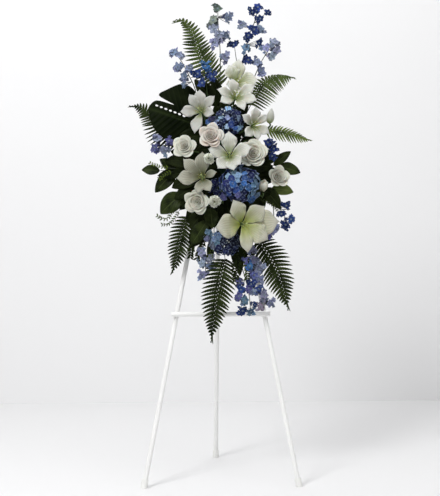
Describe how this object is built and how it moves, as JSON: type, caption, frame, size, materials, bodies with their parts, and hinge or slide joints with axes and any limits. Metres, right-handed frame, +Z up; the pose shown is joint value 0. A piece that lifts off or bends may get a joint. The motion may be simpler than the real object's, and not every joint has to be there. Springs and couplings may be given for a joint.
{
  "type": "standing funeral spray",
  "caption": "Tall spray of white lilies and roses, blue hydrangea and delphinium, fern and broad leaves in a foam cage on a folding tripod easel.",
  "frame": {"origin": "on the floor, under the middle of the whole object", "axes": "+Z up; the viewer stands at -Y and +X is to the viewer's right; the easel is alike either side of X = 0"},
  "size_m": [0.6245, 0.5422, 1.6291],
  "materials": {
    "white_enamel": "white enamel, satin",
    "white_plastic": "moulded, matt",
    "zinc": "zinc plated",
    "green_plastic": "moulded, matt",
    "wet_foam": "soaked floral foam, matt",
    "fern_leaf": "living leaf, satin",
    "monstera_leaf": "living leaf, waxy",
    "salal_leaf": "living leaf, waxy",
    "lily_petal": "living petal, soft",
    "rose_petal": "living petal, soft",
    "carnation_petal": "living petal, soft",
    "hydrangea_floret": "living petal, soft",
    "delphinium_floret": "living petal, soft"
  },
  "bodies": {
    "spray_and_front_frame": {"cable_tie_left_lower": "white_plastic", "cable_tie_left_upper": "white_plastic", "cable_tie_right_lower": "white_plastic", "cable_tie_right_upper": "white_plastic", "carnation_lower": "carnation_petal", "carnation_middle": "carnation_petal", "crossbar": "white_enamel", "delphinium_blue": "delphinium_floret", "delphinium_bottom": "delphinium_floret", "delphinium_lavender_left": "delphinium_floret", "delphinium_lavender_right": "delphinium_floret", "delphinium_low_left": "delphinium_floret", "delphinium_low_right": "delphinium_floret", "delphinium_mid_left": "delphinium_floret", "delphinium_mid_right": "delphinium_floret", "delphinium_pale": "delphinium_floret", "delphinium_right": "delphinium_floret", "delphinium_royal": "delphinium_floret", "fern_left": "fern_leaf", "fern_low_left": "fern_leaf", "fern_low_middle": "fern_leaf", "fern_low_right": "fern_leaf", "fern_right": "fern_leaf", "fern_top_left": "fern_leaf", "fern_top_right": "fern_leaf", "foam_block": "wet_foam", "foam_cage": "green_plastic", "foot_cap_left": "white_plastic", "foot_cap_right": "white_plastic", "front_leg_left": "white_enamel", "front_leg_right": "white_enamel", "head_bracket": "white_enamel", "hinge_pin": "zinc", "hydrangea_lower": "hydrangea_floret", "hydrangea_middle": "hydrangea_floret", "hydrangea_upper": "hydrangea_floret", "lily_bud": "lily_petal", "lily_lower_right": "lily_petal", "lily_middle": "lily_petal", "lily_middle_left": "lily_petal", "lily_top": "lily_petal", "lily_upper_left": "lily_petal", "lily_upper_middle": "lily_petal", "lily_upper_right": "lily_petal", "monstera_leaf": "monstera_leaf", "rose_bud": "rose_petal", "rose_far_right": "rose_petal", "rose_left": "rose_petal", "rose_lower_left": "rose_petal", "rose_right": "rose_petal", "rose_upper": "rose_petal", "salal_left": "salal_leaf", "salal_low_left": "salal_leaf", "salal_low_middle": "salal_leaf", "salal_low_right": "salal_leaf", "salal_right": "salal_leaf"},
    "rear_leg": {"rear_leg": "white_enamel", "foot_cap_rear": "white_plastic"}
  },
  "joints": [
    {"name": "rear_leg_fold", "type": "hinge", "parent": "spray_and_front_frame", "child": "rear_leg", "pos_m": [0, -0.00461, 1.26241], "axis": [-1, 0, 0], "range_deg": [0, 20]}
  ]
}
